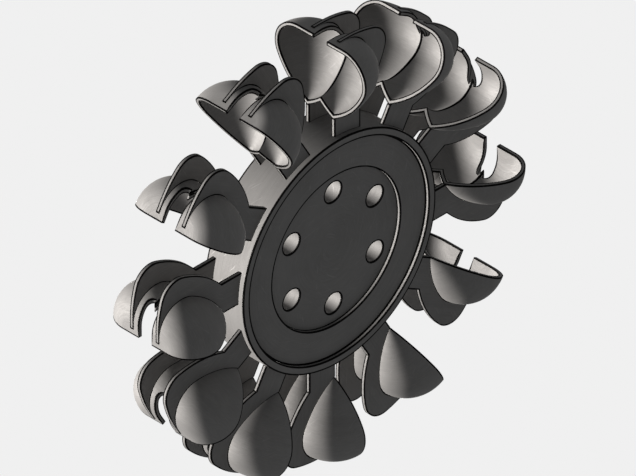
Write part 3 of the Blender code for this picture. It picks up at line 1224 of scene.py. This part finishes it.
@dataclass(frozen=True)
class Hub:
    """Hub disc: two steps sunk in each face, and six bolt holes through the seat.

    Attributes:
        radius: Radius of the disc.
        width: Its width along the axis.
        recess_radius: Radius of the first step in each face.
        recess_depth: Its depth.
        seat_radius: Radius of the second step, the seat.
        seat_depth: Its depth below the first.
        hole_count: Number of bolt holes.
        hole_circle: Radius of the circle that they stand on.
        hole_radius: Their radius.
        first_hole: Angle of the first one.
        segments: Steps round the wheel's axis.
        step_columns: Even steps across each flat and wall of the section.
        border_steps: Steps along a straight border of the seat floor round one hole.
        ring_steps: Even steps from a hole to that border.
        hole_steps: Even steps along a hole's wall.
        floor_margin: Width of the ring of floor that is turned with the seat's wall.
    """

    radius: float = 0.150
    width: float = 0.060
    recess_radius: float = 0.140
    recess_depth: float = 0.005
    seat_radius: float = 0.100
    seat_depth: float = 0.005
    hole_count: int = 6
    hole_circle: float = 0.075
    hole_radius: float = 0.013
    first_hole: float = math.radians(30.0)
    segments: int = 288
    step_columns: int = 3
    border_steps: int = 18
    ring_steps: int = 7
    hole_steps: int = 4
    floor_margin: float = 0.002

    def section(self) -> tuple[np.ndarray, np.ndarray]:
        """Half section from the front seat round the rim to the back seat.

        Each corner has a point one line's width before and after it. The corners of the
        back are those of the front, mirrored in the mid-plane.

        Returns:
            Points as (radius, y), and their edge values.
        """
        sunk = self.recess_depth + self.seat_depth
        half_section = np.array(
            (
                (self.seat_radius - self.floor_margin, sunk),
                (self.seat_radius, sunk),
                (self.seat_radius, self.recess_depth),
                (self.recess_radius, self.recess_depth),
                (self.recess_radius, 0.0),
                (self.radius, 0.0),
            )
        )
        front = half_section + np.array((0.0, MID_PLANE - self.width / 2.0))
        back = front * np.array((1.0, -1.0)) + np.array((0.0, 2.0 * MID_PLANE))
        corners = np.concatenate((front, back[::-1]))
        steps = np.diff(corners, axis=0)
        length = np.linalg.norm(steps, axis=1)
        across = bordered(length, self.step_columns)[:, :-1]
        points = corners[:-1, None] + steps[:, None] * (across / length[:, None])[..., None]
        edge = np.zeros(across.shape)
        edge[1:, 0] = 1.0
        return np.concatenate((points.reshape(-1, 2), corners[-1:])), np.append(edge.ravel(), 0.0)

    def turned(self) -> Surface:
        """The section turned about the wheel's axis.

        X is the radius times the cosine of the turn, and Z the radius times its sine.

        Returns:
            The disc without its seat floors, with the first and last column in one place.
        """
        points, edge = self.section()
        run = np.linspace(0.0, math.tau, self.segments + 1)
        angle = np.append(run[:-1], 0.0)
        radius, y = points[:, :1], points[:, 1:]
        shape = np.zeros((len(points), self.segments + 1))
        grid = np.stack((radius * np.cos(angle), y + shape, radius * np.sin(angle)), axis=-1)
        across = run_length(points)[:, None] + shape
        lay = np.stack((across, radius * run, shape + Patch.HUB_SIDES), axis=-1)
        return Surface.from_grid(grid, edge[:, None] + shape, lay)

    def wedge(self) -> tuple[np.ndarray, np.ndarray, np.ndarray]:
        """One sixth of the seat's floor, round a hole that stands at angle 0.

        Straight lines lead from the points of the hole's circle, as seen from its middle,
        to those of the sector's border. The narrow step at the border is left out, because
        no sharp edge is there.

        Returns:
            Positions as (x, z) by row and column, from the hole outwards; edge values; and
            tool mark coordinates in three numbers.
        """
        half = math.pi / self.hole_count
        outer = self.seat_radius - self.floor_margin
        rise = np.linspace(0.0, outer, self.border_steps + 1)[:, None]
        low = rise * np.array((math.cos(half), -math.sin(half)))
        angles = np.linspace(-half, half, self.segments // self.hole_count + 1)
        round_edge = arc(np.zeros(2), outer, angles)
        border = np.concatenate((low[:-1], round_edge, (low * np.array((1.0, -1.0)))[-2::-1]))
        centre = np.array((self.hole_circle, 0.0))
        away = border - centre
        distance = np.linalg.norm(away, axis=1)
        start = centre + away / distance[:, None] * self.hole_radius
        width = distance - self.hole_radius
        across = bordered(width, self.ring_steps)
        across = np.concatenate((across[:, :-2], across[:, -1:]), axis=1)
        share = across / width[:, None]
        grid = start[:, None] + (border - start)[:, None] * share[..., None]
        radius = np.linalg.norm(grid, axis=-1)
        turn = radius * np.arctan2(grid[..., 1], np.maximum(grid[..., 0], SAME_POINT))
        lay = np.stack((radius, turn, np.full_like(radius, Patch.SEAT_FLOOR)), axis=-1)
        return grid, border_marks(*share.shape, last=False), lay

    def seats(self) -> Surface:
        """Both seat floors and the walls of the bolt holes.

        Returns:
            The floors, one wedge turned to every hole, and a strip through each hole.
        """
        grid, edge, lay = self.wedge()
        front = MID_PLANE - self.width / 2.0 + self.recess_depth + self.seat_depth
        back = 2.0 * MID_PLANE - front
        parts = []
        for index in range(self.hole_count):
            turn = math.tau * index / self.hole_count
            x, z = rotated(grid[..., 0], grid[..., 1], self.first_hole + turn)
            floor, rear = (np.stack((x, np.full_like(x, y), z), axis=-1) for y in (front, back))
            shift = np.array((0.0, turn * self.seat_radius, 0.0))
            parts.append(Surface.from_grid(floor, edge, lay + shift, flip=True))
            parts.append(Surface.from_grid(rear, edge, lay + shift))
            patch = Patch.BOLT_HOLE + index
            parts.append(strip(floor[:, 0], rear[:, 0], self.hole_steps, (), patch))
        return Surface.joined(parts)

    def surface(self) -> Surface:
        """The whole hub."""
        return Surface.joined((self.turned(), self.seats()))


class Face(Enum):
    """The wheel's two faces, and on which side of the mid-plane they lie."""

    FRONT = -1.0
    BACK = 1.0


@dataclass
class Wheel:
    """The dressed wheel: a hub, and twelve buckets of a double cup and two arm plates.

    Attributes:
        hub: The hub disc.
        cup: The cup of every bucket.
        arm: The plate that carries each of its lobes.
    """

    hub: Hub = field(default_factory=Hub)
    cup: DoubleCup = field(default_factory=DoubleCup)
    arm: ArmPlate = field(default_factory=ArmPlate)

    def dress(self) -> list[bpy.types.Object]:
        """Build every piece, fix it to the body and hide the solid that it stands for.

        Returns:
            The pieces.
        """
        finishes = (TURNED_STEEL, GROUND_STEEL, ROLLED_STEEL)
        materials = {finish: finish.material() for finish in finishes}
        cup = self.cup.surface()
        plate = self.arm.surface()
        spacing = self.cup.section.half_spacing
        plans = [("hub_disc", self.hub.surface(), TURNED_STEEL, "hub")]
        for number in range(1, BUCKET_COUNT + 1):
            tag, bucket = f"{number:02d}", f"bucket_{number:02d}"
            turned = cup.at_station(number)
            plans.append((f"double_cup_{tag}", turned, GROUND_STEEL, f"{bucket}_cup"))
            for face in Face:
                place = face.name.lower()
                turned = plate.moved(face.value * spacing).marked(face.value).at_station(number)
                plans.append((f"{place}_rib_{tag}", turned, ROLLED_STEEL, f"{bucket}_{place}_arm"))
        return [
            self.fitted(surface.as_object(name, materials[finish]), node)
            for name, surface, finish, node in plans
        ]

    def fitted(self, item: bpy.types.Object, node: str) -> bpy.types.Object:
        """Fix a piece to the wheel's body in place of a solid, and report it.

        Args:
            item: The piece.
            node: The solid that it stands for.

        Returns:
            The piece.
        """
        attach(item, "root")
        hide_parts(node)
        LOG.info("%s stands for %s, %d faces", item.name, node, len(item.data.polygons))
        return item


# The studio


@dataclass(frozen=True)
class Studio:
    """Pale floor and surroundings, a light from the left and one from behind, and a camera.

    Attributes:
        pale: Colour of the floor and surroundings as the camera sees them.
        ambient: Brightness of the surroundings as light on the wheel.
        key_strength: Strength of the light from the left.
        key_turn: How far that light stands behind the wheel.
        rear_strength: Strength of the light from behind.
        light_angle: Angle across each light, as seen from the wheel.
        light_colour: Colour of both lights.
        lens: Focal length of the camera in millimetres.
        sensor: Width of its sensor in millimetres.
        view_width: Width of what it sees, at the wheel.
        azimuth: Angle of the camera round the wheel.
        elevation: Angle of the camera above the horizon.
        roll: Turn of the camera about its line of sight.
        aim_right: How far the middle of the picture lies right of the wheel's middle.
        aim_up: How far it lies above it.
        clip: Nearest and farthest distance that the camera sees.
        floor_height: Height of the floor, just below the wheel.
        floor_half: Half the floor's width.
    """

    pale: float = 0.871
    ambient: float = 0.365
    key_strength: float = 14.4
    key_turn: float = math.radians(4.0)
    rear_strength: float = 3.6
    light_angle: float = math.radians(12.0)
    light_colour: tuple[float, float, float] = (1.0, 0.95, 0.905)
    lens: float = 1280.0
    sensor: float = 36.0
    view_width: float = 0.70202
    azimuth: float = math.radians(315.05)
    elevation: float = math.radians(35.252)
    roll: float = math.radians(-0.116)
    aim_right: float = -0.00267
    aim_up: float = 0.00261
    clip: tuple[float, float] = (1.0, 100.0)
    floor_height: float = -0.280
    floor_half: float = 40.0

    def axes(self) -> tuple[Vector, Vector, Vector]:
        """The picture's own directions.

        Returns:
            To the right of the picture, to its top, and from the wheel to the camera.
        """
        flat = math.cos(self.elevation)
        back = Vector(
            (
                math.sin(self.azimuth) * flat,
                -math.cos(self.azimuth) * flat,
                math.sin(self.elevation),
            )
        )
        right = Vector((0.0, 0.0, 1.0)).cross(back).normalized()
        return right, back.cross(right), back

    def camera(self) -> None:
        """A long lens far away, so that parallel edges look all but parallel."""
        right, up, back = self.axes()
        distance = self.view_width * self.lens / self.sensor
        aim = Vector((0.0, MID_PLANE, 0.0)) + right * self.aim_right + up * self.aim_up
        data = bpy.data.cameras.new("camera")
        data.lens = self.lens
        data.sensor_width = self.sensor
        data.clip_start, data.clip_end = self.clip
        item = bpy.data.objects.new("camera", data)
        turn = Matrix((right, up, back)).transposed().to_4x4()
        roll = Matrix.Rotation(self.roll, 4, "Z")
        item.matrix_world = Matrix.Translation(aim + back * distance) @ turn @ roll
        bpy.context.scene.collection.objects.link(item)
        bpy.context.scene.camera = item

    def sun(self, name: str, toward: Vector, strength: float) -> None:
        """Add a distant light with soft edges and no cast shadow.

        Args:
            name: The light's name.
            toward: Direction from the wheel to the light.
            strength: Its strength.
        """
        data = bpy.data.lights.new(name, "SUN")
        data.energy = strength
        data.angle = self.light_angle
        data.color = self.light_colour
        data.use_shadow = False
        item = bpy.data.objects.new(name, data)
        item.rotation_mode = "QUATERNION"
        item.rotation_quaternion = toward.to_track_quat("Z", "Y")
        bpy.context.scene.collection.objects.link(item)

    def light(self) -> None:
        """A key light from the camera's left, and a weaker one from behind the wheel.

        The key is level and nearly across the line of sight. The other light faces the
        camera, so it reaches only what is turned away from the camera.
        """
        right, _, back = self.axes()
        key = -right * math.cos(self.key_turn) - back * math.sin(self.key_turn)
        self.sun("key", key, self.key_strength)
        self.sun("rear", -back, self.rear_strength)

    def choice(
        self,
        tree: bpy.types.NodeTree,
        test: bpy.types.NodeSocket,
        low: bpy.types.NodeSocket,
        high: bpy.types.NodeSocket,
    ) -> bpy.types.NodeSocket:
        """Choose between two shaders.

        Args:
            tree: The node tree that they are in.
            test: A value of 0 or 1.
            low: The shader for 0.
            high: The shader for 1.

        Returns:
            The chosen shader.
        """
        node = tree.nodes.new("ShaderNodeMixShader")
        for place, socket in zip(node.inputs, (test, low, high)):
            tree.links.new(socket, place)
        return node.outputs[0]

    def glow(self, tree: bpy.types.NodeTree, kind: str) -> bpy.types.NodeSocket:
        """Two white glowing shaders, a pale one for the camera and a weak one for all else.

        Args:
            tree: The node tree that they go into.
            kind: The shader's type.

        Returns:
            The choice of the two.
        """
        shaders = []
        for strength in (self.ambient, self.pale):
            node = tree.nodes.new(kind)
            node.inputs["Color"].default_value = (1.0, 1.0, 1.0, 1.0)
            node.inputs["Strength"].default_value = strength
            shaders.append(node.outputs[0])
        seen = tree.nodes.new("ShaderNodeLightPath").outputs["Is Camera Ray"]
        return self.choice(tree, seen, *shaders)

    def surroundings(self) -> None:
        """Pale to the camera, and a weak even light for the wheel."""
        world = bpy.data.worlds.new("surroundings")
        bpy.context.scene.world = world
        world.use_nodes = True
        tree = world.node_tree
        tree.nodes.clear()
        out = tree.nodes.new("ShaderNodeOutputWorld")
        tree.links.new(self.glow(tree, "ShaderNodeBackground"), out.inputs["Surface"])

    def floor(self) -> None:
        """A wide pale floor below the wheel, seen through from below."""
        half = self.floor_half
        corners = [(-half, -half), (half, -half), (half, half), (-half, half)]
        mesh = bpy.data.meshes.new("floor")
        mesh.from_pydata([(x, y, self.floor_height) for x, y in corners], [], [(0, 1, 2, 3)])
        material = bpy.data.materials.new("pale_floor")
        material.use_nodes = True
        tree = material.node_tree
        tree.nodes.clear()
        below = tree.nodes.new("ShaderNodeNewGeometry").outputs["Backfacing"]
        clear = tree.nodes.new("ShaderNodeBsdfTransparent").outputs[0]
        shown = self.choice(tree, below, self.glow(tree, "ShaderNodeEmission"), clear)
        out = tree.nodes.new("ShaderNodeOutputMaterial")
        tree.links.new(shown, out.inputs["Surface"])
        mesh.materials.append(material)
        item = bpy.data.objects.new("floor", mesh)
        bpy.context.scene.collection.objects.link(item)

    def build(self) -> None:
        """Set up the whole studio."""
        self.floor()
        self.surroundings()
        self.light()
        self.camera()
        bpy.context.scene.view_settings.view_transform = "Standard"


def main() -> None:
    """Load the solids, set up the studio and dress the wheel."""
    logging.basicConfig(level=logging.INFO, format="%(message)s")
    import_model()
    Studio().build()
    pieces = Wheel().dress()
    LOG.info("%d pieces", len(pieces))


if __name__ == "__main__":
    main()
